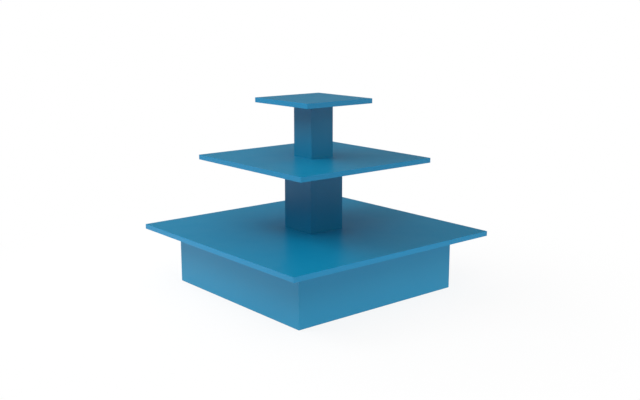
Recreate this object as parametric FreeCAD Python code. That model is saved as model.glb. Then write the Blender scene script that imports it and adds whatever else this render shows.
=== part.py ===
import FreeCAD, Part
import math
import os

from FreeCAD import Vector

# A square three-tier shop display table, made of melamine-faced board.
#
# A low open-bottomed plinth carries the wide bottom tier. A hollow square column stands on it and
# carries the middle tier, and a slimmer column carries the small top tier. Each box is four boards
# mitred at the corners. Square plugs, screwed to the tiers, key the ends of both columns, and one
# threaded tie rod down the middle clamps the whole stack between a tee nut under the top tier and
# a nut under the plinth's centre pad. Four screw levellers stand in the plinth's corner blocks.
#
# Millimetres. The origin is on the floor, under the centre. +Z is up and -Y is the front.

# Boards
board = 18.0
edge_band = 1.0
edge_round = 0.3
corner_arris = 0.3

# Tiers
bottom_tier_side = 914.4
middle_tier_side = 609.6
top_tier_side = 304.8

# Plinth
plinth_side = 723.9
plinth_height = 203.2
floor_gap = 2.0
corner_block_side = 45.0
batten_thickness = 20.0
batten_depth = 40.0
rail_depth = 90.0
housing_depth = 6.0
centre_pad_length = 150.0
joint_clearance = 0.2

# Columns
lower_column_side = 152.4
lower_column_height = 254.0
upper_column_side = 101.6
upper_column_height = 198.0
plug_thickness = 18.0
plug_clearance = 0.3

# Wood screws
screw_radius = 2.0
screw_head_radius = 4.0
screw_tip = 5.0
screw_bite = 12.0
hole_clearance = 0.05
drive_width = 2.4
drive_depth = 1.8
plug_screw_inset = 14.0
block_screw_rise = 27.0
block_screw_gap = 60.0
block_screw_stagger = 14.0
batten_screw_inset = 60.0
batten_screw_count = 3
tier_screw_inset = 110.0
tier_screw_count = 2

# Tie rod and its nuts, M8
thread_radius = 4.0
thread_clearance = 0.05
thread_chamfer = 0.8
rod_hole_clearance = 0.5
rod_tail = 6.0
rod_headroom = 1.0
nut_across_flats = 13.0
nut_height = 6.5
washer_radius = 12.0
washer_thickness = 1.6
tee_flange_radius = 11.0
tee_flange_thickness = 1.5
tee_barrel_wall = 1.2
tee_barrel_length = 10.0
tee_prong_length = 6.0
tee_prong_width = 3.0
tee_prong_thickness = 1.2
tee_prong_count = 4
tee_prong_turn = 45.0

# Levellers
pad_radius = 18.0
pad_rim = 5.0
pad_crown_radius = 9.0
pad_height = 9.0
pad_chamfer = 1.0
pad_floor = 2.5
pad_lip = 3.0
stem_disc_radius = 5.5
stem_neck_radius = 3.2
stem_play = 0.25
stem_hex_height = 6.0
stem_thread_length = 32.0
stem_bore_headroom = 3.0
stem_bore_clearance = 0.8
stop_clearance = 0.2

# Heights, from the floor up
plinth_bottom_z = floor_gap
plinth_top_z = plinth_bottom_z + plinth_height
bottom_tier_z = plinth_top_z + board
lower_column_top_z = bottom_tier_z + lower_column_height
middle_tier_z = lower_column_top_z + board
upper_column_top_z = middle_tier_z + upper_column_height
centre_pad_z = plinth_top_z - board
hex_bottom_z = pad_height + stem_play
hex_top_z = hex_bottom_z + stem_hex_height
block_bottom_z = hex_top_z + stop_clearance + tee_flange_thickness
stem_top_z = hex_top_z + stem_thread_length
stem_bore_top_z = stem_top_z + stem_bore_headroom
tie_tee_nut_place = (0, 0, upper_column_top_z - tee_flange_thickness)

# Places, from the centre out
plinth_inner = plinth_side / 2 - board
block_inner = plinth_inner - corner_block_side
leveller_axis = plinth_inner - corner_block_side / 2
rail_x = (lower_column_side - board) / 2
rail_half_length = plinth_inner + housing_depth
lower_plug_side = lower_column_side - 2 * board - 2 * plug_clearance
upper_plug_side = upper_column_side - 2 * board - 2 * plug_clearance
centre_pad_width = lower_column_side - 2 * board - 2 * joint_clearance
rod_hole_radius = thread_radius + rod_hole_clearance
tee_barrel_radius = thread_radius + thread_clearance + tee_barrel_wall

# A quarter turn about +Z takes the front to the right, and the front left corner to the front right
sides = ("front", "right", "back", "left")
corners = ("front_left", "front_right", "back_right", "back_left")
quarter_turns = range(4)
up = Vector(0, 0, 1)
down = Vector(0, 0, -1)
backwards = Vector(0, 1, 0)
centre = Vector(0, 0, 0)
same_place = 1e-6


def quarter_turned(shape, turn):
    """A copy of the shape after this many quarter turns about the table's own axis."""
    return shape.rotated(centre, up, 90 * turn)


def front_and_back(shape):
    """A shape at the front and its mirror image at the back."""
    return [shape, shape.mirror(centre, backwards)]


def box_between(low, high):
    """A box from its lowest to its highest corner."""
    return Part.makeBox(high[0] - low[0], high[1] - low[1], high[2] - low[2], Vector(*low))


def rod(radius, bottom_z, top_z):
    """A plain cylinder on the table's axis."""
    return Part.makeCylinder(radius, top_z - bottom_z, Vector(0, 0, bottom_z))


def lathe(profile):
    """A solid of revolution about +Z. The profile is a closed loop of (radius, height) points."""
    points = [Vector(radius, 0, height) for radius, height in profile]
    outline = Part.makePolygon(points + points[:1])
    return Part.Face(outline).revolve(centre, up, 360)


def hexagon(across_flats, bottom_z, top_z):
    """A hexagonal prism on the table's axis."""
    corner_radius = across_flats / math.sqrt(3)
    angles = [math.radians(60 * corner) for corner in range(6)]
    points = [Vector(corner_radius * math.cos(a), corner_radius * math.sin(a), bottom_z) for a in angles]
    outline = Part.makePolygon(points + points[:1])
    return Part.Face(outline).extrude(Vector(0, 0, top_z - bottom_z))


def at(shape, point, direction=up):
    """A copy of a shape made at the origin along +Z, moved to the point and aimed."""
    copy = shape.copy()
    copy.Placement = FreeCAD.Placement(Vector(*point), FreeCAD.Rotation(up, direction))
    return copy


def cut_from(shape, tools):
    """The shape without those of the tools that reach it."""
    near = [tool for tool in tools if tool.BoundBox.intersect(shape.BoundBox)]
    return shape.cut(near) if near else shape


# Wood screws. A seat is where a screw's head lies, the way it is driven and how much wood it goes
# through before it bites, so one list of seats gives the screws and their holes.


def screw_profile(length, grown_by=0.0):
    """Half of a countersunk screw's outline, head at the origin."""
    shank = screw_radius + grown_by
    head = screw_head_radius + grown_by
    end = length + grown_by
    return [(0, 0), (head, 0), (shank, head - shank), (shank, end - screw_tip), (0, end)]


def screws_in(seats):
    """The screws of these seats, each with its square drive."""
    half_drive = drive_width / 2
    drive = box_between((-half_drive, -half_drive, 0), (half_drive, half_drive, drive_depth))
    made = []
    for point, direction, through in seats:
        screw = lathe(screw_profile(through + screw_bite)).cut(drive)
        made.append(at(screw, point, direction))
    return made


def holes_for(seats):
    """What the screws of these seats take out of the wood."""
    return [
        at(lathe(screw_profile(through + screw_bite, hole_clearance)), point, direction)
        for point, direction, through in seats
    ]


def spread(half_length, inset, count):
    """Evenly spaced places along a strip, the outer two at the inset from its ends."""
    reach = half_length - inset
    return [-reach + 2 * reach * place / (count - 1) for place in range(count)]


def turned_seat(seat, turn):
    """A seat after this many quarter turns about the table's axis."""
    rotation = FreeCAD.Rotation(up, 90 * turn)
    point, direction, through = seat
    return rotation.multVec(Vector(*point)), rotation.multVec(direction), through


def block_seats():
    """Two screws from each corner block into each of its panels, above its bore, missing each other."""
    seats = []
    for level in (0, block_screw_gap):
        height = stem_bore_top_z + block_screw_rise + level
        staggered = height + block_screw_stagger
        to_front = ((-leveller_axis, -block_inner, height), Vector(0, -1, 0), corner_block_side)
        to_left = ((-block_inner, -leveller_axis, staggered), Vector(-1, 0, 0), corner_block_side)
        seats += [turned_seat(seat, turn) for turn in quarter_turns for seat in (to_front, to_left)]
    return seats


def batten_seats():
    """Screws through each batten into its panel."""
    height = plinth_top_z - batten_depth / 2
    inner_face = -(plinth_inner - batten_thickness)
    places = spread(block_inner, batten_screw_inset, batten_screw_count)
    row = [((place, inner_face, height), Vector(0, -1, 0), batten_thickness) for place in places]
    return [turned_seat(seat, turn) for turn in quarter_turns for seat in row]


def tier_seats():
    """Screws up through each batten into the bottom tier."""
    line = -(plinth_inner - batten_thickness / 2)
    bottom = plinth_top_z - batten_depth
    places = spread(block_inner, tier_screw_inset, tier_screw_count)
    row = [((place, line, bottom), up, batten_depth) for place in places]
    return [turned_seat(seat, turn) for turn in quarter_turns for seat in row]


def seats_up(half_x, half_y, bottom_z, thickness):
    """Four screws driven up, one near each corner of a block."""
    x = half_x - plug_screw_inset
    y = half_y - plug_screw_inset
    return [((sx * x, sy * y, bottom_z), up, thickness) for sx in (-1, 1) for sy in (-1, 1)]


def plug_seats_up(half_side, bottom_z):
    """The screws that hold a head plug to the tier above it."""
    return seats_up(half_side, half_side, bottom_z, plug_thickness)


def plug_seats_down(half_side, top_z):
    """The screws that hold a foot plug to the tier below it, one near the middle of each side."""
    reach = half_side - plug_screw_inset
    return [turned_seat(((reach, 0, top_z), down, plug_thickness), turn) for turn in quarter_turns]


centre_pad_seats = seats_up(centre_pad_width / 2, centre_pad_length / 2, centre_pad_z, board)
plug_seats = (
    plug_seats_down(lower_plug_side / 2, bottom_tier_z + plug_thickness)
    + plug_seats_up(lower_plug_side / 2, lower_column_top_z - plug_thickness)
    + plug_seats_down(upper_plug_side / 2, middle_tier_z + plug_thickness)
    + plug_seats_up(upper_plug_side / 2, upper_column_top_z - plug_thickness)
)
screw_sets = {
    "corner_block_screws": block_seats(),
    "batten_screws": batten_seats(),
    "bottom_tier_screws": tier_seats(),
    "centre_pad_screws": centre_pad_seats,
    "plug_screws": plug_seats,
}
all_screw_holes = [hole for seats in screw_sets.values() for hole in holes_for(seats)]


def mitred_panel(side, bottom_z, top_z):
    """The front board of a square box, cut at 45 degrees at both ends, its sharp outer edges eased."""
    outer = side / 2
    inner = outer - board
    face_end = outer - corner_arris
    mitre_end = outer - corner_arris / 2
    right_half = [(face_end, -outer), (mitre_end, -mitre_end), (inner, -inner)]
    left_half = [(-x, y) for x, y in reversed(right_half)]
    points = [Vector(x, y, bottom_z) for x, y in right_half + left_half]
    outline = Part.makePolygon(points + points[:1])
    return Part.Face(outline).extrude(Vector(0, 0, top_z - bottom_z))


def box_of_panels(prefix, side, bottom_z, top_z):
    """Four mitred boards, one node each."""
    panel = mitred_panel(side, bottom_z, top_z)
    return {f"{prefix}_{name}": quarter_turned(panel, turn) for turn, name in enumerate(sides)}


def tee_nut(grown_by=0.0, bored=True):
    """A pronged tee nut. Its flange lies under the origin's plane, its barrel and prongs point up."""
    barrel = tee_barrel_radius + grown_by
    flange = tee_flange_radius + grown_by
    nut = rod(flange, -tee_flange_thickness, 0)
    nut = nut.fuse(rod(barrel, -tee_flange_thickness, tee_barrel_length))
    half_width = tee_prong_width / 2 + grown_by
    inner = tee_flange_radius - tee_prong_thickness - grown_by
    # the prong's foot is inside the flange's rim, which curves away at the prong's corners
    outer = math.sqrt(tee_flange_radius**2 - (tee_prong_width / 2) ** 2) + grown_by
    prong = box_between(
        (inner, -half_width, -tee_flange_thickness), (outer, half_width, tee_prong_length + grown_by)
    )
    for place in range(tee_prong_count):
        nut = nut.fuse(prong.rotated(centre, up, tee_prong_turn + 360 * place / tee_prong_count))
    if bored:
        nut = nut.cut(rod(thread_radius + thread_clearance, -tee_flange_thickness, tee_barrel_length))
    return nut.removeSplitter()


def leveller_places():
    """Where the four levellers stand, in the order of the corners."""
    corner = Vector(-leveller_axis, -leveller_axis, 0)
    return [FreeCAD.Rotation(up, 90 * turn).multVec(corner) for turn in quarter_turns]


def leveller_pad():
    """A round nylon foot whose socket holds the end of the stem, free to turn."""
    socket = stem_disc_radius + stem_play
    neck_hole = stem_neck_radius + stem_play
    socket_top = pad_height - pad_lip
    return lathe(
        [
            (0, 0),
            (pad_radius - pad_chamfer, 0),
            (pad_radius, pad_chamfer),
            (pad_radius, pad_rim),
            (pad_crown_radius, pad_height),
            (neck_hole, pad_height),
            (neck_hole, socket_top),
            (socket, socket_top),
            (socket, pad_floor),
            (0, pad_floor),
        ]
    )


def leveller_stem():
    """A steel stem: a disc held in the pad, a neck, a hexagon for the spanner and the M8 thread."""
    disc_bottom = pad_floor + stem_play
    disc_top = pad_height - pad_lip - stem_play
    turned_parts = lathe(
        [
            (0, disc_bottom),
            (stem_disc_radius, disc_bottom),
            (stem_disc_radius, disc_top),
            (stem_neck_radius, disc_top),
            (stem_neck_radius, hex_bottom_z),
            (thread_radius, hex_bottom_z),
            (thread_radius, stem_top_z - thread_chamfer),
            (thread_radius - thread_chamfer, stem_top_z),
            (0, stem_top_z),
        ]
    )
    return turned_parts.fuse(hexagon(nut_across_flats, hex_bottom_z, hex_top_z)).removeSplitter()


def make_levellers():
    """Four pads, four stems and the tee nuts that the stems screw into."""
    pad = leveller_pad()
    stem = leveller_stem()
    nut = tee_nut()
    nuts = []
    made = {"leveller_tee_nuts": nuts}
    for name, place in zip(corners, leveller_places()):
        made[f"leveller_pad_{name}"] = at(pad, place)
        made[f"leveller_stem_{name}"] = at(stem, place)
        nuts.append(at(nut, place + Vector(0, 0, block_bottom_z)))
    return made


def make_corner_blocks():
    """Timber posts in the plinth's corners, each bored for its leveller's stem."""
    low = (-plinth_inner, -plinth_inner, block_bottom_z)
    high = (-block_inner, -block_inner, plinth_top_z)
    post = box_between(low, high)
    bore = rod(thread_radius + stem_bore_clearance, block_bottom_z, stem_bore_top_z)
    seat = tee_nut(hole_clearance, bored=False)
    made = {}
    for turn, (name, place) in enumerate(zip(corners, leveller_places())):
        tools = [at(bore, place), at(seat, place + Vector(0, 0, block_bottom_z))]
        made[f"corner_block_{name}"] = cut_from(quarter_turned(post, turn), tools)
    return made


def make_battens():
    """Strips along the plinth's top inner edges, which the bottom tier is screwed to."""
    strip = box_between(
        (-block_inner, -plinth_inner, plinth_top_z - batten_depth),
        (block_inner, -plinth_inner + batten_thickness, plinth_top_z),
    )
    return {f"top_batten_{name}": quarter_turned(strip, turn) for turn, name in enumerate(sides)}


def make_support_rails():
    """Two boards on edge, under the lower column's side walls, notched round the battens."""
    half_board = board / 2
    end = rail_half_length - joint_clearance
    notch_bottom = plinth_top_z - batten_depth - joint_clearance
    notch_inner = plinth_inner - batten_thickness - joint_clearance
    made = {}
    for name, x in (("left", -rail_x), ("right", rail_x)):
        left, right = x - half_board, x + half_board
        rail = box_between((left, -end, plinth_top_z - rail_depth), (right, end, plinth_top_z))
        notch = box_between((left, -end, notch_bottom), (right, -notch_inner, plinth_top_z))
        made[f"support_rail_{name}"] = rail.cut(front_and_back(notch))
    return made


def rail_housings():
    """Grooves in the front and back panels for the support rails' ends."""
    half_width = board / 2 + joint_clearance
    bottom_z = plinth_top_z - rail_depth - joint_clearance
    grooves = []
    for x in (-rail_x, rail_x):
        low = (x - half_width, -rail_half_length, bottom_z)
        high = (x + half_width, -plinth_inner, plinth_top_z)
        grooves += front_and_back(box_between(low, high))
    return grooves


def make_plinth():
    """The plinth's panels, posts, battens, rails and centre pad."""
    made = box_of_panels("plinth_panel", plinth_side, plinth_bottom_z, plinth_top_z)
    housings = rail_housings()
    made = {name: cut_from(panel, housings) for name, panel in made.items()}
    made.update(make_corner_blocks())
    made.update(make_battens())
    made.update(make_support_rails())
    made["centre_pad"] = box_between(
        (-centre_pad_width / 2, -centre_pad_length / 2, centre_pad_z),
        (centre_pad_width / 2, centre_pad_length / 2, plinth_top_z),
    )
    return made


def outer_arrises(strip, outer_y, outer_x=None):
    """The strip's edges that lie on its outer face, and on its end faces if outer_x is given."""
    found = []
    for edge in strip.Edges:
        points = [vertex.Point for vertex in edge.Vertexes]
        on_face = all(abs(point.y - outer_y) < same_place for point in points)
        along = abs(points[0].x - points[1].x) > same_place
        at_end = outer_x is not None and all(abs(abs(point.x) - outer_x) < same_place for point in points)
        if on_face and (along or at_end):
            found.append(edge)
    return found


def make_tier(prefix, side, top_z):
    """A square board and the four strips that band its edges. The front and back strips lap the others."""
    half = side / 2
    core = half - edge_band
    bottom_z = top_z - board
    made = {f"{prefix}_board": box_between((-core, -core, bottom_z), (core, core, top_z))}
    lapping = box_between((-half, -half, bottom_z), (half, -core, top_z))
    lapping = lapping.makeFillet(edge_round, outer_arrises(lapping, -half, half))
    lapped = box_between((-core, -half, bottom_z), (core, -core, top_z))
    lapped = lapped.makeFillet(edge_round, outer_arrises(lapped, -half))
    for turn, name in enumerate(sides):
        strip = lapping if turn % 2 == 0 else lapped
        made[f"{prefix}_edge_{name}"] = quarter_turned(strip, turn)
    return made


def make_column(prefix, side, plug_side, bottom_z, top_z):
    """A hollow square column and the plugs that key its foot and its head."""
    made = box_of_panels(f"{prefix}_panel", side, bottom_z, top_z)
    half = plug_side / 2
    for end, plug_z in (("foot", bottom_z), ("head", top_z - plug_thickness)):
        plug = box_between((-half, -half, plug_z), (half, half, plug_z + plug_thickness))
        made[f"{prefix}_{end}_plug"] = plug
    return made


def make_tie_rod():
    """The rod that clamps the stack, its tee nut at the top, and its washer and nut at the foot."""
    washer_z = centre_pad_z - washer_thickness
    nut_z = washer_z - nut_height
    foot_z = nut_z - rod_tail
    head_z = upper_column_top_z - rod_headroom
    bar = lathe(
        [
            (0, foot_z),
            (thread_radius - thread_chamfer, foot_z),
            (thread_radius, foot_z + thread_chamfer),
            (thread_radius, head_z - thread_chamfer),
            (thread_radius - thread_chamfer, head_z),
            (0, head_z),
        ]
    )
    bore = rod(thread_radius + thread_clearance, foot_z, centre_pad_z)
    washer = rod(washer_radius, washer_z, centre_pad_z).cut(rod(rod_hole_radius, washer_z, centre_pad_z))
    return {
        "tie_rod": bar,
        "tie_rod_tee_nut": at(tee_nut(), tie_tee_nut_place, down),
        "tie_rod_washer": washer,
        "tie_rod_nut": hexagon(nut_across_flats, nut_z, washer_z).cut(bore),
    }


def main():
    """Makes every piece, drills the wood and writes one STEP file for each node."""
    wood = make_plinth()
    wood.update(make_tier("bottom_tier", bottom_tier_side, bottom_tier_z))
    wood.update(
        make_column("lower_column", lower_column_side, lower_plug_side, bottom_tier_z, lower_column_top_z)
    )
    wood.update(make_tier("middle_tier", middle_tier_side, middle_tier_z))
    wood.update(
        make_column("upper_column", upper_column_side, upper_plug_side, middle_tier_z, upper_column_top_z)
    )
    wood.update(make_tier("top_tier", top_tier_side, upper_column_top_z + board))

    rod_hole = rod(rod_hole_radius, plinth_bottom_z, upper_column_top_z)
    tee_nut_seat = at(tee_nut(hole_clearance, bored=False), tie_tee_nut_place, down)
    drills = [*all_screw_holes, rod_hole, tee_nut_seat]

    nodes = {name: cut_from(piece, drills) for name, piece in wood.items()}
    nodes.update(make_tie_rod())
    nodes.update(make_levellers())
    nodes.update({name: screws_in(seats) for name, seats in screw_sets.items()})

    os.makedirs("parts", exist_ok=True)
    for name, piece in nodes.items():
        shape = Part.makeCompound(piece) if isinstance(piece, list) else piece
        if not shape.isValid():
            raise ValueError(f"{name} is not a valid shape")
        shape.exportStep(os.path.join("parts", f"{name}.step"))
    print(f"{len(nodes)} nodes, {upper_column_top_z + board:.1f} mm high")


main()
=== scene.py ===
import math

import bpy
import numpy as np
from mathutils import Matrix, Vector


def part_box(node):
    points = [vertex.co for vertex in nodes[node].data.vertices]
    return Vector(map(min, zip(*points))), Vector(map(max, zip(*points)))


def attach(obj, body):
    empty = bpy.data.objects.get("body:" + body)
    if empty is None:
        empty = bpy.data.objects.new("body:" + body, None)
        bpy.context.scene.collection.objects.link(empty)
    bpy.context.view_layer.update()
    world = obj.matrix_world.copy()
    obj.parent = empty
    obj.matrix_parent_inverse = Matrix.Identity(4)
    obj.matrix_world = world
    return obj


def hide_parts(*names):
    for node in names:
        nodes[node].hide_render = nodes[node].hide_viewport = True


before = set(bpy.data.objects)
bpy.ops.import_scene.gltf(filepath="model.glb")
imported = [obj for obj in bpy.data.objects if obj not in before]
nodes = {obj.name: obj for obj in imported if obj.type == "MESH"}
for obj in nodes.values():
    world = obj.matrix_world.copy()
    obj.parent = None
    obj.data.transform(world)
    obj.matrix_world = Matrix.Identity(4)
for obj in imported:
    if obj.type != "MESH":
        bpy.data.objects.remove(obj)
scene = bpy.context.scene
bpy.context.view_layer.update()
mm = 0.001
corners = ("front_left", "front_right", "back_right", "back_left")
sides = ("front", "right", "back", "left")
tiers = ("bottom_tier", "middle_tier", "top_tier")
boxes = ("plinth", "lower_column", "upper_column")
noiseLow, noiseHigh = 0.3, 0.7      # nearly all of a noise texture lies between these


def hexToLinear(code):
    # sRGB hex to linear red, green, blue and alpha
    parts = [int(code[i:i + 2], 16) / 255 for i in (1, 3, 5)]
    return [c / 12.92 if c <= 0.04045 else ((c + 0.055) / 1.055) ** 2.4 for c in parts] + [1.0]


def addNode(tree, kind, settings=None, links=None):
    # settings are the node's own, links are its inputs: another node's output, or a plain value
    node = tree.nodes.new("ShaderNode" + kind)
    for name, value in (settings or {}).items():
        setattr(node, name, value)
    for name, value in (links or {}).items():
        if isinstance(value, bpy.types.NodeSocket):
            tree.links.new(value, node.inputs[name])
        else:
            node.inputs[name].default_value = value
    return node


def newMaterial(name):
    material = bpy.data.materials.new(name)
    material.use_nodes = True
    material.node_tree.nodes.clear()
    return material, material.node_tree


def closeMaterial(tree, color, roughness, height, depth, extras):
    # the last nodes of every material: relief as deep as depth, one Principled surface and the output
    relief = addNode(tree, "Bump", None, {"Height": height, "Distance": depth})
    links = {"Base Color": color, "Roughness": roughness, "Normal": relief.outputs["Normal"]}
    shader = addNode(tree, "BsdfPrincipled", None, {**links, **extras})
    addNode(tree, "OutputMaterial", None, {"Surface": shader.outputs["BSDF"]})


def wear(names, material):
    for name in names:
        mesh = nodes[name].data
        mesh.materials.clear()
        mesh.materials.append(material)


# Chipboard as it comes off the saw: wood flakes of 1 to 4 mm, pale and dark, glued at random, with small
# dark gaps between some of them. It is dead matt.
chipboardLook = {
    "paleFlake": "#D8B98E",
    "darkFlake": "#94693B",
    "gap": "#5B4128",
    "flakeSize": 2.6 * mm,
    "ragged": 2.0 * mm,         # how far the flakes' outlines stray
    "flakeShade": 0.7,          # how much of the shade is the flake's own
    "fineSize": 0.8 * mm,
    "fineShade": 0.4,           # and how much its fibres add
    "gapWidth": 0.05,           # of a flake
    "bridge": (0.40, 0.55),     # fibre levels from an open gap to a closed one
    "roughness": 0.88,
    "depth": 0.2 * mm,
    "ior": 1.5,
}


def chipboardColor(tree, place):
    # each flake has one shade of its own under fine fibres, and gaps are dark only where the fibres part
    look = chipboardLook
    fine = addNode(tree, "TexNoise", None, {
        "Vector": place, "Scale": 1 / look["fineSize"], "Detail": 2.0})
    stray = addNode(tree, "VectorMath", {"operation": "MULTIPLY_ADD"}, {
        0: fine.outputs["Color"], 1: (look["ragged"],) * 3, 2: place})
    cells = {"Vector": stray.outputs["Vector"], "Scale": 1 / look["flakeSize"]}
    flake = addNode(tree, "TexVoronoi", None, cells)
    rim = addNode(tree, "TexVoronoi", {"feature": "DISTANCE_TO_EDGE"}, cells)
    shade = addNode(tree, "SeparateColor", None, {"Color": flake.outputs["Color"]})
    own = addNode(tree, "MapRange", None, {"Value": shade.outputs["Red"], "To Max": look["flakeShade"]})
    fibred = addNode(tree, "Math", {"operation": "MULTIPLY_ADD"}, {
        0: fine.outputs["Fac"], 1: look["fineShade"], 2: own.outputs["Result"]})
    wood = addNode(tree, "Mix", {"data_type": "RGBA"}, {
        0: fibred.outputs[0], 6: hexToLinear(look["darkFlake"]), 7: hexToLinear(look["paleFlake"])})
    inside = addNode(tree, "MapRange", None, {
        "Value": rim.outputs["Distance"], "From Max": look["gapWidth"]})
    parted, closed = look["bridge"]
    bridged = addNode(tree, "MapRange", None, {
        "Value": fine.outputs["Fac"], "From Min": parted, "From Max": closed})
    solid = addNode(tree, "Math", {"operation": "MAXIMUM"}, {
        0: inside.outputs["Result"], 1: bridged.outputs["Result"]})
    color = addNode(tree, "Mix", {"data_type": "RGBA"}, {
        0: solid.outputs[0], 6: hexToLinear(look["gap"]), 7: wood.outputs[2]})
    return color.outputs[2], solid.outputs[0]


def makeChipboard():
    look = chipboardLook
    material, tree = newMaterial("sawn chipboard")
    place = addNode(tree, "TexCoord").outputs["Object"]
    color, solid = chipboardColor(tree, place)
    closeMaterial(tree, color, look["roughness"], solid, look["depth"], {"IOR": look["ior"]})
    return material


# Melamine film: printed paper under a pressed resin skin, on both faces of the board. The eye gets an even
# blue with hardly any cloud in it and a soft wide sheen, which mirrors what stands on it only close to the
# foot. The press plate leaves a pearl grain of about 0.3 mm, drawn four times as coarse so that it shows.
# Cut edges are bare chipboard.
boardLook = {
    "deepBlue": "#0681AA",
    "lightBlue": "#0685AE",
    "cloudSize": 260 * mm,
    "roughness": (0.35, 0.39),
    "smearSize": 90 * mm,
    "pearlSize": 1.2 * mm,
    "pearlDepth": 0.015 * mm,
    "ior": 1.40,
    "cutTurn": (0.5, 0.6),      # the upward share of a face's normal, from an upright face to a level one
}


def makeBoardFilm(name, cutFaces):
    # cutFaces says which faces show the core: "none", "level" ones (up and down) or "upright" ones
    look = boardLook
    material, tree = newMaterial(name)
    coords = addNode(tree, "TexCoord")
    place = coords.outputs["Object"]
    cloud = addNode(tree, "TexNoise", None, {
        "Vector": place, "Scale": 1 / look["cloudSize"], "Detail": 3.0}).outputs["Fac"]
    smear = addNode(tree, "TexNoise", None, {
        "Vector": place, "Scale": 1 / look["smearSize"], "Detail": 4.0}).outputs["Fac"]
    pearl = addNode(tree, "TexNoise", None, {
        "Vector": place, "Scale": 1 / look["pearlSize"], "Detail": 1.0}).outputs["Fac"]
    color = addNode(tree, "Mix", {"data_type": "RGBA"}, {
        0: cloud, 6: hexToLinear(look["deepBlue"]), 7: hexToLinear(look["lightBlue"])}).outputs[2]
    least, most = look["roughness"]
    roughness = addNode(tree, "MapRange", None, {
        "Value": smear, "From Min": noiseLow, "From Max": noiseHigh,
        "To Min": least, "To Max": most}).outputs["Result"]
    if cutFaces != "none":
        core = chipboardColor(tree, place)[0]
        facing = addNode(tree, "SeparateXYZ", None, {"Vector": coords.outputs["Normal"]})
        rise = addNode(tree, "Math", {"operation": "ABSOLUTE"}, {0: facing.outputs["Z"]})
        upright, level = look["cutTurn"]
        cutUpright, cutLevel = (0.0, 1.0) if cutFaces == "level" else (1.0, 0.0)
        cut = addNode(tree, "MapRange", None, {
            "Value": rise.outputs[0], "From Min": upright, "From Max": level,
            "To Min": cutUpright, "To Max": cutLevel}).outputs["Result"]
        color = addNode(tree, "Mix", {"data_type": "RGBA"}, {0: cut, 6: color, 7: core}).outputs[2]
        roughness = addNode(tree, "Mix", {"data_type": "FLOAT"}, {
            0: cut, 2: roughness, 3: chipboardLook["roughness"]}).outputs[0]
    closeMaterial(tree, color, roughness, pearl, look["pearlDepth"], {"IOR": look["ior"]})
    return material


# ABS edge band: a 1 mm strip, extruded in the film's blue and glued round the tiers with its edges trimmed
# to a hair's round, with faint die lines along its length. Its blues are painted a shade lighter than the
# film's. This is painted light: the upright sides of the tiers look as if they catch more light than their
# tops.
edgeLookPaintedLighter = {
    # both blues are painted lighter than the film's blue, as painted light on the upright edges
    "deepBlue": "#018ABC",
    "lightBlue": "#018EC1",
    "lineLength": 120 * mm,
    "lineWidth": 2.0 * mm,      # real die lines are about 0.2 mm apart
    "roughness": (0.35, 0.41),
    "lineDepth": 0.015 * mm,
    "ior": 1.41,
}


def makeEdgeBand(name, alongX):
    look = edgeLookPaintedLighter
    material, tree = newMaterial(name)
    place = addNode(tree, "TexCoord").outputs["Object"]
    long, wide = 1 / look["lineLength"], 1 / look["lineWidth"]
    stretch = (long, wide, wide) if alongX else (wide, long, wide)
    drawn = addNode(tree, "Mapping", None, {"Vector": place, "Scale": stretch})
    line = addNode(tree, "TexNoise", None, {
        "Vector": drawn.outputs["Vector"], "Scale": 1.0, "Detail": 2.0}).outputs["Fac"]
    color = addNode(tree, "Mix", {"data_type": "RGBA"}, {
        0: line, 6: hexToLinear(look["deepBlue"]), 7: hexToLinear(look["lightBlue"])}).outputs[2]
    least, most = look["roughness"]
    roughness = addNode(tree, "MapRange", None, {
        "Value": line, "From Min": noiseLow, "From Max": noiseHigh,
        "To Min": least, "To Max": most}).outputs["Result"]
    closeMaterial(tree, color, roughness, line, look["lineDepth"], {"IOR": look["ior"]})
    return material


# Planed pine: each year's ring runs from wide pale early wood to a narrow orange line of late wood, 2 to
# 5 mm apart, round a heart that lies beside the piece. The grain runs along the piece.
pineLook = {
    "earlyWood": "#E5C692",
    "lateWood": "#BD8649",
    "pore": "#B08450",
    "ringWidth": 3.4 * mm,
    "unevenRings": 3.0,         # ring widths that the rings drift, wide and narrow years
    "ringsPerDrift": 2.5,
    "lateSharpness": 2.6,       # the higher, the narrower the line of late wood
    "faintYear": 0.55,          # how much of its tone the faintest year's line keeps
    "heart": (0.385, 0.300, 0.135),     # each piece's own log, in the quarter that it stands in
    "taper": 0.03,              # how much the rings close in along the grain
    "wander": 14 * mm,          # how far the rings stray
    "wanderSize": 60 * mm,
    "wanderStretch": 4,         # how many times longer that is along the grain
    "fibreLength": 26 * mm,
    "fibreWidth": 0.7 * mm,
    "poreLevels": (0.45, 0.75),     # fibre levels from no pore to a full one
    "poreShare": 0.4,           # how much of its colour the fullest pore shows
    "roughness": (0.56, 0.70),
    "depth": 0.08 * mm,
    "ior": 1.5,
}


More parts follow.
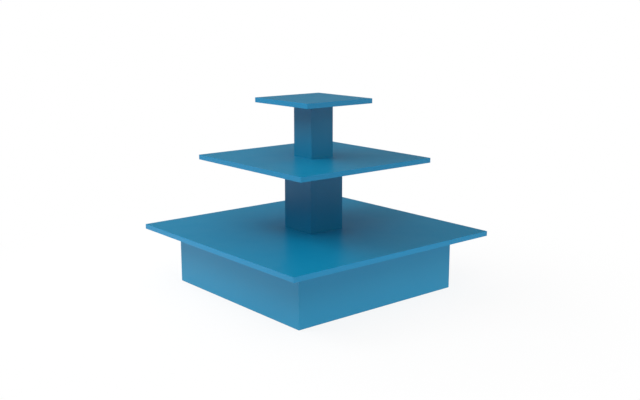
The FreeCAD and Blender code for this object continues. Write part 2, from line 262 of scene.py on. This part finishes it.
def makePine(name, grain):
    # grain is 0, 1 or 2 for X, Y or Z. A ring is the distance from the heart in ring widths, its whole
    # years taken off.
    look = pineLook
    material, tree = newMaterial(name)
    place = addNode(tree, "TexCoord").outputs["Object"]
    across = [1.0, 1.0, 1.0]
    across[grain] = look["taper"]
    toHeart = [-h * a for h, a in zip(look["heart"], across)]
    gentle = [1 / look["wanderSize"]] * 3
    gentle[grain] /= look["wanderStretch"]
    fibres = [1 / look["fibreWidth"]] * 3
    fibres[grain] = 1 / look["fibreLength"]
    quarter = addNode(tree, "VectorMath", {"operation": "ABSOLUTE"}, {0: place}).outputs["Vector"]
    centred = addNode(tree, "Mapping", None, {
        "Vector": quarter, "Location": toHeart, "Scale": across}).outputs["Vector"]
    radius = addNode(tree, "VectorMath", {"operation": "LENGTH"}, {0: centred}).outputs["Value"]
    bent = addNode(tree, "Mapping", None, {"Vector": place, "Scale": gentle}).outputs["Vector"]
    bend = addNode(tree, "TexNoise", None, {"Vector": bent, "Scale": 1.0, "Detail": 2.0}).outputs["Fac"]
    strayed = addNode(tree, "Math", {"operation": "MULTIPLY_ADD"}, {
        0: bend, 1: look["wander"], 2: radius}).outputs[0]
    years = addNode(tree, "Math", {"operation": "DIVIDE"}, {0: strayed, 1: look["ringWidth"]}).outputs[0]
    season = addNode(tree, "TexNoise", {"noise_dimensions": "1D"}, {
        "W": years, "Scale": 1 / look["ringsPerDrift"], "Detail": 1.0}).outputs["Fac"]
    uneven = addNode(tree, "Math", {"operation": "MULTIPLY_ADD"}, {
        0: season, 1: look["unevenRings"], 2: years}).outputs[0]
    ring = addNode(tree, "Math", {"operation": "FRACT"}, {0: uneven}).outputs[0]
    late = addNode(tree, "Math", {"operation": "POWER"}, {0: ring, 1: look["lateSharpness"]}).outputs[0]
    summer = addNode(tree, "MapRange", None, {
        "Value": season, "From Min": noiseLow, "From Max": noiseHigh,
        "To Min": look["faintYear"]}).outputs["Result"]
    tone = addNode(tree, "Math", {"operation": "MULTIPLY"}, {0: late, 1: summer}).outputs[0]
    wood = addNode(tree, "Mix", {"data_type": "RGBA"}, {
        0: tone, 6: hexToLinear(look["earlyWood"]), 7: hexToLinear(look["lateWood"])}).outputs[2]
    stretched = addNode(tree, "Mapping", None, {"Vector": place, "Scale": fibres}).outputs["Vector"]
    fibre = addNode(tree, "TexNoise", None, {
        "Vector": stretched, "Scale": 1.0, "Detail": 3.0}).outputs["Fac"]
    shut, full = look["poreLevels"]
    pore = addNode(tree, "MapRange", None, {
        "Value": fibre, "From Min": shut, "From Max": full,
        "To Max": look["poreShare"]}).outputs["Result"]
    color = addNode(tree, "Mix", {"data_type": "RGBA"}, {
        0: pore, 6: wood, 7: hexToLinear(look["pore"])}).outputs[2]
    least, most = look["roughness"]
    roughness = addNode(tree, "MapRange", None, {
        "Value": fibre, "From Min": noiseLow, "From Max": noiseHigh,
        "To Min": least, "To Max": most}).outputs["Result"]
    closeMaterial(tree, color, roughness, fibre, look["depth"], {"IOR": look["ior"]})
    return material


# Zinc-plated steel, blue passivated: a thin bright plate that dries a little uneven, so the grey drifts
# between cool and faintly straw-coloured, and its sheen is satin rather than mirror.
zincLook = {
    "coolGrey": "#C3C9CF",
    "strawGrey": "#CCC8B9",
    "driftSize": 9 * mm,
    "grainSize": 0.5 * mm,      # the plate's crystals are far finer
    "roughness": (0.26, 0.42),
    "depth": 0.006 * mm,
}


def makeZinc():
    look = zincLook
    material, tree = newMaterial("zinc-plated steel")
    place = addNode(tree, "TexCoord").outputs["Object"]
    drift = addNode(tree, "TexNoise", None, {
        "Vector": place, "Scale": 1 / look["driftSize"], "Detail": 3.0}).outputs["Fac"]
    grain = addNode(tree, "TexNoise", None, {
        "Vector": place, "Scale": 1 / look["grainSize"], "Detail": 1.0}).outputs["Fac"]
    tint = addNode(tree, "MapRange", None, {
        "Value": drift, "From Min": noiseLow, "From Max": noiseHigh}).outputs["Result"]
    color = addNode(tree, "Mix", {"data_type": "RGBA"}, {
        0: tint, 6: hexToLinear(look["coolGrey"]), 7: hexToLinear(look["strawGrey"])}).outputs[2]
    least, most = look["roughness"]
    roughness = addNode(tree, "MapRange", None, {
        "Value": drift, "From Min": noiseLow, "From Max": noiseHigh,
        "To Min": least, "To Max": most}).outputs["Result"]
    closeMaterial(tree, color, roughness, grain, look["depth"], {"Metallic": 1.0})
    return material


# Moulded nylon, dyed black: the mould's spark-eroded face leaves a fine even stipple and a dull soft
# sheen, a little scuffed where it has stood on floors.
nylonLook = {
    "black": "#1B1B1D",
    "scuffed": "#2B2B2C",
    "scuffSize": 6 * mm,
    "scuffLevels": (0.45, 0.75),    # noise levels from unworn to fully scuffed
    "stippleSize": 0.5 * mm,    # the real stipple is about 0.1 mm
    "roughness": (0.44, 0.60),
    "depth": 0.03 * mm,
    "ior": 1.53,
}


def makeNylon():
    look = nylonLook
    material, tree = newMaterial("moulded black nylon")
    place = addNode(tree, "TexCoord").outputs["Object"]
    scuff = addNode(tree, "TexNoise", None, {
        "Vector": place, "Scale": 1 / look["scuffSize"], "Detail": 5.0}).outputs["Fac"]
    stipple = addNode(tree, "TexNoise", None, {
        "Vector": place, "Scale": 1 / look["stippleSize"], "Detail": 1.0}).outputs["Fac"]
    unworn, scuffed = look["scuffLevels"]
    worn = addNode(tree, "MapRange", None, {
        "Value": scuff, "From Min": unworn, "From Max": scuffed}).outputs["Result"]
    color = addNode(tree, "Mix", {"data_type": "RGBA"}, {
        0: worn, 6: hexToLinear(look["black"]), 7: hexToLinear(look["scuffed"])}).outputs[2]
    least, most = look["roughness"]
    roughness = addNode(tree, "MapRange", None, {
        "Value": scuff, "From Min": noiseLow, "From Max": noiseHigh,
        "To Min": least, "To Max": most}).outputs["Result"]
    closeMaterial(tree, color, roughness, stipple, look["depth"], {"IOR": look["ior"]})
    return material


chipboard = makeChipboard()
zinc = makeZinc()
nylon = makeNylon()
wear([n for n in nodes if n.endswith("_tier_board")], makeBoardFilm("melamine film", "none"))
panels = [f"{box}_panel_{side}" for box in boxes for side in sides]
rails = ["support_rail_left", "support_rail_right"]
wear(panels + rails, makeBoardFilm("melamine film, level edges cut", "level"))
wear(["centre_pad"], makeBoardFilm("melamine film, upright edges cut", "upright"))
for axis, along in (("X", ("front", "back")), ("Y", ("left", "right"))):
    edgeBand = makeEdgeBand(f"ABS edge band along {axis}", axis == "X")
    wear([f"{tier}_edge_{side}" for tier in tiers for side in along], edgeBand)
wear([n for n in nodes if n.endswith("_plug")], chipboard)
wear([f"corner_block_{corner}" for corner in corners], makePine("planed pine, grain upright", 2))
wear(["top_batten_front", "top_batten_back"], makePine("planed pine, grain along X", 0))
wear(["top_batten_left", "top_batten_right"], makePine("planed pine, grain along Y", 1))
wear([n for n in nodes if "screws" in n or "tee_nut" in n or n == "tie_rod_washer"], zinc)
wear([f"leveller_pad_{corner}" for corner in corners], nylon)
print("materials done")


skinLook = {
    "sharpTurn": 25,            # degrees between two faces, from where their edge is drawn sharp
}


def turnedSkin(name, radii, heights, centre, joinEnds):
    # rows of rings: the point at angle a of a row is (radius cos a, radius sin a, height). The last row
    # joins the first where the section is a loop, otherwise each end ring gets one flat cap.
    rows, columns = radii.shape
    angles = np.arange(columns) * 2 * np.pi / columns
    points = np.empty((rows, columns, 3))
    points[..., 0] = centre[0] + radii * np.cos(angles)
    points[..., 1] = centre[1] + radii * np.sin(angles)
    points[..., 2] = heights[:, None]
    index = np.arange(rows * columns).reshape(rows, columns)
    low = index if joinEnds else index[:-1]
    high = np.roll(index, -1, axis=0) if joinEnds else index[1:]
    quads = np.stack([low, np.roll(low, -1, axis=1), np.roll(high, -1, axis=1), high], axis=-1)
    faces = quads.reshape(-1, 4).tolist()
    if not joinEnds:
        faces += [index[0, ::-1].tolist(), index[-1].tolist()]
    mesh = bpy.data.meshes.new(name)
    mesh.from_pydata(points.reshape(-1, 3), [], faces)
    mesh.polygons.foreach_set("use_smooth", np.ones(len(faces), bool))
    mesh.set_sharp_from_angle(angle=math.radians(skinLook["sharpTurn"]))
    piece = bpy.data.objects.new(name, mesh)
    scene.collection.objects.link(piece)
    return piece


threadLook = {
    "pitch": 1.25 * mm,
    "depth": 0.767 * mm,
    "crestShare": 0.125,        # of the pitch, flat at the crest
    "rootShare": 0.25,          # and at the root
    "rowsPerTurn": 8,
    "tipChamfer": 0.8 * mm,
}


def threadRadii(crest, low, high, columns, openAtLow):
    # radius = root + depth x ridge, where ridge goes 0 to 1 to 0 once in a pitch along z less one pitch a
    # turn, with flats at the crest and the root. A 45 degree chamfer cuts the ends off.
    look = threadLook
    rows = int(round((high - low) / look["pitch"] * look["rowsPerTurn"])) + 1
    heights = np.linspace(low, high, rows)
    turn = np.arange(columns) / columns
    phase = (heights[:, None] / look["pitch"] - turn) % 1
    climb = (1 - np.abs(2 * phase - 1) - look["rootShare"]) / (1 - look["rootShare"] - look["crestShare"])
    radii = crest - look["depth"] * (1 - np.clip(climb, 0, 1))
    fromEnd = high - heights
    if openAtLow:
        fromEnd = np.minimum(fromEnd, heights - low)
    return np.minimum(radii, (crest - look["tipChamfer"] + fromEnd)[:, None]), heights


hexLook = {
    "acrossFlats": 13.0 * mm,
    "faceRadius": 6.2 * mm,     # where the 30 degree chamfer meets the end face
    "chamferSlope": 1.732,      # how much the radius grows for each metre up the chamfer
    "chamferHeight": 0.8 * mm,
    "chamferRows": 5,
}


def hexRadii(heights, low, high, columns):
    # radius = half the flats' distance / cos(angle from the flat's middle), cut by a cone at both ends
    look = hexLook
    angles = np.arange(columns) * 2 * np.pi / columns
    flats = look["acrossFlats"] / 2 / np.cos((angles % (np.pi / 3)) - np.pi / 6)
    fromEnd = np.minimum(heights - low, high - heights)
    cone = look["faceRadius"] + fromEnd * look["chamferSlope"]
    return np.minimum(flats[None, :], cone[:, None])


def hexRows(low, high):
    # rows close together in the chamfers and one flat run between them
    chamfer = np.linspace(0, hexLook["chamferHeight"], hexLook["chamferRows"])
    return np.concatenate([low + chamfer, (high - chamfer)[::-1]])


rodLook = {
    "crest": 4.0 * mm,
    "columns": 18,
}

nutLook = {
    "bore": 4.05 * mm,
    "lead": 0.5 * mm,           # the bore's 45 degree countersink at both faces
    "columns": 48,
}

stemLook = {
    "crest": 4.0 * mm,
    "columns": 48,
    "discRadius": 5.5 * mm,
    "discTop": 3.0 * mm,        # above the foot of the stem
    "neckRadius": 3.2 * mm,
    "hexBottom": 6.5 * mm,
    "hexHeight": 6.0 * mm,
    "ease": 0.3 * mm,           # of the disc's rims
}


def finishPiece(piece, material, body, node):
    piece.data.materials.append(material)
    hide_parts(node)
    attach(piece, body)


def makeTieRod():
    look = rodLook
    low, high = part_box("tie_rod")
    centre = ((low.x + high.x) / 2, (low.y + high.y) / 2)
    radii, heights = threadRadii(look["crest"], low.z, high.z, look["columns"], True)
    piece = turnedSkin("tie_rod_threaded", radii, heights, centre, False)
    finishPiece(piece, zinc, "table", "tie_rod")


def makeTieRodNut():
    # the section is a loop: up the outside, in over the top and down the bore
    look = nutLook
    low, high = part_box("tie_rod_nut")
    centre = ((low.x + high.x) / 2, (low.y + high.y) / 2)
    columns, bore, lead = look["columns"], look["bore"], look["lead"]
    rise = hexRows(low.z, high.z)
    fall = np.array([high.z, high.z - lead, low.z + lead, low.z])
    inside = np.array([bore + lead, bore, bore, bore + lead])
    radii = np.vstack([
        hexRadii(rise, low.z, high.z, columns),
        np.repeat(inside[:, None], columns, axis=1)])
    piece = turnedSkin("tie_rod_nut_chamfered", radii, np.concatenate([rise, fall]), centre, True)
    finishPiece(piece, zinc, "table", "tie_rod_nut")


def makeStem(corner):
    # turned disc and neck, hexagon for the spanner, then the thread: one skin from foot to tip
    look = stemLook
    node = f"leveller_stem_{corner}"
    low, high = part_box(node)
    centre = ((low.x + high.x) / 2, (low.y + high.y) / 2)
    columns = look["columns"]
    foot, disc, neck, ease = low.z, look["discRadius"], look["neckRadius"], look["ease"]
    discTop = foot + look["discTop"]
    hexLow = foot + look["hexBottom"]
    hexHigh = hexLow + look["hexHeight"]
    turnedRadii = np.array([disc - ease, disc, disc, disc - ease, neck, neck])
    turnedHeights = np.array([foot, foot + ease, discTop - ease, discTop, discTop, hexLow])
    hexHeights = hexRows(hexLow, hexHigh)
    thread, threadHeights = threadRadii(look["crest"], hexHigh, high.z, columns, False)
    radii = np.vstack([
        np.repeat(turnedRadii[:, None], columns, axis=1),
        hexRadii(hexHeights, hexLow, hexHigh, columns),
        thread])
    heights = np.concatenate([turnedHeights, hexHeights, threadHeights])
    piece = turnedSkin(f"leveller_stem_threaded_{corner}", radii, heights, centre, False)
    finishPiece(piece, zinc, f"stem_{corner}", node)


makeTieRod()
makeTieRodNut()
for corner in corners:
    makeStem(corner)
print("threaded pieces done")


# White acrylic floor, cast smooth and lit from under: pure white to the eye, with hardly a shadow on it.
floorLook = {
    "side": 60.0,
    "color": "#AAAAAA",                     # for the light that it throws back on the table
    # a level under the table, and how many metres from its middle the level starts to fade and ends
    "nearGlow": (0.68, 0.68, 0.90),         # what the lamps under it throw up, strongest at the table
    "farGlow": (0.61, 1.62, 1.90),
    "shadow": (0.13, 0.60, 1.50),           # how much of the floor's own white the shadows can take away
    "mirroredShadow": (0.70, 0.80, 2.40),   # and of the white that the satin faces mirror
}


def makeFloor():
    look = floorLook
    half = look["side"] / 2
    mesh = bpy.data.meshes.new("floor")
    square = [(-half, -half, 0), (half, -half, 0), (half, half, 0), (-half, half, 0)]
    mesh.from_pydata(square, [], [(0, 1, 2, 3)])
    floor = bpy.data.objects.new("floor", mesh)
    scene.collection.objects.link(floor)
    material, tree = newMaterial("lit white acrylic floor")
    place = addNode(tree, "TexCoord").outputs["Object"]
    distance = addNode(tree, "VectorMath", {"operation": "LENGTH"}, {0: place}).outputs["Value"]
    faded = {}
    for name in ("nearGlow", "farGlow", "shadow", "mirroredShadow"):
        level, start, end = look[name]
        faded[name] = addNode(tree, "MapRange", {"interpolation_type": "SMOOTHSTEP"}, {
            "Value": distance, "From Min": start, "From Max": end,
            "To Min": level, "To Max": 0.0}).outputs["Result"]
    # rays from the camera, a mirror or a glass see white less a share for the shadows, and the rest see
    # the grey floor with its glow
    ray = addNode(tree, "LightPath")
    seen = addNode(tree, "Math", {"operation": "MAXIMUM"}, {
        0: ray.outputs["Is Camera Ray"], 1: ray.outputs["Is Glossy Ray"]})
    seen = addNode(tree, "Math", {"operation": "MAXIMUM"}, {
        0: seen.outputs[0], 1: ray.outputs["Is Transmission Ray"]}).outputs[0]
    shade = addNode(tree, "Mix", {"data_type": "FLOAT"}, {
        0: ray.outputs["Is Glossy Ray"], 2: faded["shadow"], 3: faded["mirroredShadow"]}).outputs[0]
    color = addNode(tree, "Mix", {"data_type": "RGBA"}, {
        0: seen, 6: hexToLinear(look["color"]), 7: shade}).outputs[2]
    white = addNode(tree, "Math", {"operation": "SUBTRACT"}, {0: 1.0, 1: shade}).outputs[0]
    glow = addNode(tree, "Math", {"operation": "ADD"}, {
        0: faded["nearGlow"], 1: faded["farGlow"]}).outputs[0]
    strength = addNode(tree, "Mix", {"data_type": "FLOAT"}, {0: seen, 2: glow, 3: white}).outputs[0]
    skin = addNode(tree, "BsdfDiffuse", None, {"Color": color})
    lamp = addNode(tree, "Emission", None, {"Strength": strength})
    both = addNode(tree, "AddShader", None, {0: skin.outputs[0], 1: lamp.outputs[0]})
    # clear from below, so that the table's underside can be looked at
    under = addNode(tree, "NewGeometry").outputs["Backfacing"]
    clear = addNode(tree, "BsdfTransparent")
    sheet = addNode(tree, "MixShader", None, {0: under, 1: both.outputs[0], 2: clear.outputs[0]})
    addNode(tree, "OutputMaterial", None, {"Surface": sheet.outputs[0]})
    mesh.materials.append(material)


skyLook = {
    # heights on the sky are sines of the elevation, where a level starts to change and where it is full
    "midSky": 0.12,                 # what the studio gives the table from 12 degrees up
    "midStart": (0.16, 0.25),
    "highSky": 0.79,                # and from 50 degrees up, where the big overhead screen hangs
    "highStart": (0.72, 0.81),
    "backdropEnd": (0.06, 0.09),    # satin and metal mirror the white backdrop up to 4 degrees
    "mirroredWall": 0.155,          # and the studio's grey walls above it
}


def makeWorld():
    look = skyLook
    world = bpy.data.worlds.new("studio")
    scene.world = world
    world.use_nodes = True
    tree = world.node_tree
    tree.nodes.clear()
    way = addNode(tree, "TexCoord").outputs["Generated"]
    rise = addNode(tree, "SeparateXYZ", None, {"Vector": way}).outputs["Z"]
    levels = {
        "midStart": (0.0, look["midSky"]),
        "highStart": (0.0, look["highSky"] - look["midSky"]),
        "backdropEnd": (1.0, look["mirroredWall"]),
    }
    step = {}
    for name, (below, above) in levels.items():
        start, end = look[name]
        step[name] = addNode(tree, "MapRange", {"interpolation_type": "SMOOTHSTEP"}, {
            "Value": rise, "From Min": start, "From Max": end,
            "To Min": below, "To Max": above}).outputs["Result"]
    ray = addNode(tree, "LightPath")
    walls = addNode(tree, "Mix", {"data_type": "FLOAT"}, {
        0: ray.outputs["Is Glossy Ray"], 2: step["midStart"], 3: step["backdropEnd"]}).outputs[0]
    sky = addNode(tree, "Math", {"operation": "ADD"}, {0: walls, 1: step["highStart"]}).outputs[0]
    seen = addNode(tree, "Math", {"operation": "MAXIMUM"}, {
        0: ray.outputs["Is Camera Ray"], 1: ray.outputs["Is Transmission Ray"]}).outputs[0]
    level = addNode(tree, "Math", {"operation": "MAXIMUM"}, {0: sky, 1: seen}).outputs[0]
    light = addNode(tree, "Background", None, {"Color": (1, 1, 1, 1), "Strength": level})
    addNode(tree, "OutputWorld", None, {"Surface": light.outputs[0]})


softBoxLook = {
    "side": 1.6,
    "distance": 3.2,
    "aim": (0.0, 0.0, 0.35),
    # azimuth from +X towards +Y, elevation, and level: at 1 a white face turned to the box renders white
    "boxes": {
        "left": (143, 40, 0.45),
        "front": (234, 40, 0.28),
        "right": (315, 17, 0.10),
        "farRight": (0, 10, 0.24),
        "farLeft": (90, 10, 0.44),
    },
    "screened": ("farRight", "farLeft"),    # from the faces that would mirror them
}


def makeSoftBox(name):
    look = softBoxLook
    azimuth, elevation, level = look["boxes"][name]
    turn, rise = math.radians(azimuth), math.radians(elevation)
    direction = Vector((math.cos(turn) * math.cos(rise), math.sin(turn) * math.cos(rise), math.sin(rise)))
    light = bpy.data.lights.new(name, "AREA")
    light.shape = "SQUARE"
    light.size = look["side"]
    light.energy = level * (math.pi * look["distance"]) ** 2
    lamp = bpy.data.objects.new(name, light)
    lamp.location = Vector(look["aim"]) + direction * look["distance"]
    lamp.rotation_euler = direction.to_track_quat("Z", "Y").to_euler()
    lamp.visible_camera = False
    lamp.visible_glossy = name not in look["screened"]
    scene.collection.objects.link(lamp)


cameraLook = {
    "lens": 50,
    "sensor": 36,
    "place": (-2.07659, -2.51069, 1.02069),
    "downward": 11.983,     # degrees
    "turn": -40.022,
}


def makeCamera():
    look = cameraLook
    camera = bpy.data.objects.new("camera", bpy.data.cameras.new("camera"))
    camera.data.lens = look["lens"]
    camera.data.sensor_width = look["sensor"]
    camera.location = look["place"]
    camera.rotation_euler = (math.radians(90 - look["downward"]), 0, math.radians(look["turn"]))
    scene.collection.objects.link(camera)
    scene.camera = camera


makeFloor()
makeWorld()
for name in softBoxLook["boxes"]:
    makeSoftBox(name)
makeCamera()
scene.view_settings.view_transform = "Standard"
print("studio done")
